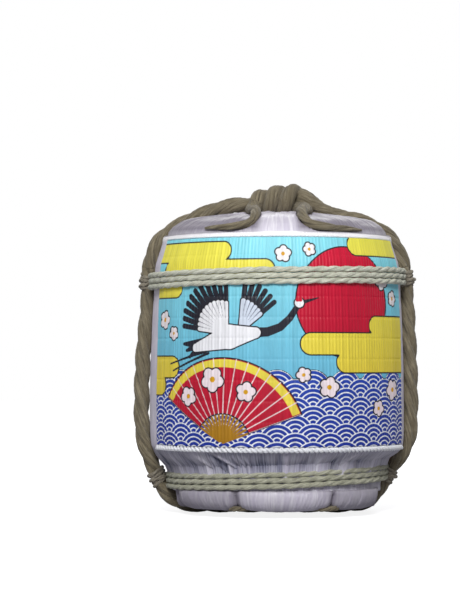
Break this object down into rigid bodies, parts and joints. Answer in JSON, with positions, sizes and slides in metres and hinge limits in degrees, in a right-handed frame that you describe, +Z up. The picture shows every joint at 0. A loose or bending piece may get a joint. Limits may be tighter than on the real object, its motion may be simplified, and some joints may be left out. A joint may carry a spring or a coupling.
{
  "type": "straw-wrapped sake cask",
  "caption": "Small cedar sake cask in woven straw mats, tied with cord bands and a thick carrying rope; the top, the lid and the bung lift off.",
  "frame": {"origin": "on the ground under the middle of the object", "axes": "+Z up along the cask's axis, the printed front towards -Y"},
  "size_m": [0.1968, 0.1784, 0.223],
  "materials": {
    "cedar": "planed, unfinished",
    "bamboo": "split and scraped",
    "white_straw": "woven ribs, slight sheen",
    "printed_straw": "woven ribs, printed",
    "thick_rope": "laid fibre rope",
    "band_cord": "laid cord",
    "lashing_cord": "laid cord"
  },
  "bodies": {
    "cask": {"stave_01": "cedar", "stave_02": "cedar", "stave_03": "cedar", "stave_04": "cedar", "stave_05": "cedar", "stave_06": "cedar", "stave_07": "cedar", "stave_08": "cedar", "stave_09": "cedar", "stave_10": "cedar", "stave_11": "cedar", "stave_12": "cedar", "stave_13": "cedar", "stave_14": "cedar", "stave_15": "cedar", "stave_16": "cedar", "floor_board_1": "cedar", "floor_board_2": "cedar", "floor_board_3": "cedar", "floor_dowels": "bamboo", "hoop_1": "bamboo", "hoop_2": "bamboo", "hoop_3": "bamboo", "hoop_4": "bamboo", "hoop_5": "bamboo", "body_mat": "white_straw", "printed_mat": "printed_straw", "bottom_mat": "white_straw", "sling_rope": "thick_rope", "upper_band": "band_cord", "lower_band": "band_cord", "upper_knot_left": "lashing_cord", "upper_knot_right": "lashing_cord", "lower_knot_left": "lashing_cord", "lower_knot_right": "lashing_cord", "base_lashing": "lashing_cord"},
    "wrap_top": {"top_mat": "white_straw", "bow_rope_left": "thick_rope", "bow_rope_right": "thick_rope", "top_lashing": "lashing_cord"},
    "lid": {"lid_board_1": "cedar", "lid_board_2": "cedar", "lid_board_3": "cedar", "lid_dowels": "bamboo"},
    "bung": {"bung": "cedar"}
  },
  "joints": [
    {"name": "wrap_top_lift", "type": "slide", "parent": "cask", "child": "wrap_top", "axis": [0, 0, 1], "range_m": [0, 0.26]},
    {"name": "lid_lift", "type": "slide", "parent": "cask", "child": "lid", "axis": [0, 0, 1], "range_m": [0, 0.13]},
    {"name": "bung_pull", "type": "slide", "parent": "lid", "child": "bung", "axis": [0, 0, 1], "range_m": [0, 0.052]}
  ],
  "couplings": [
    {"joint": "lid_lift", "follows": "wrap_top_lift", "ratio": 0.5},
    {"joint": "bung_pull", "follows": "wrap_top_lift", "ratio": 0.2}
  ]
}
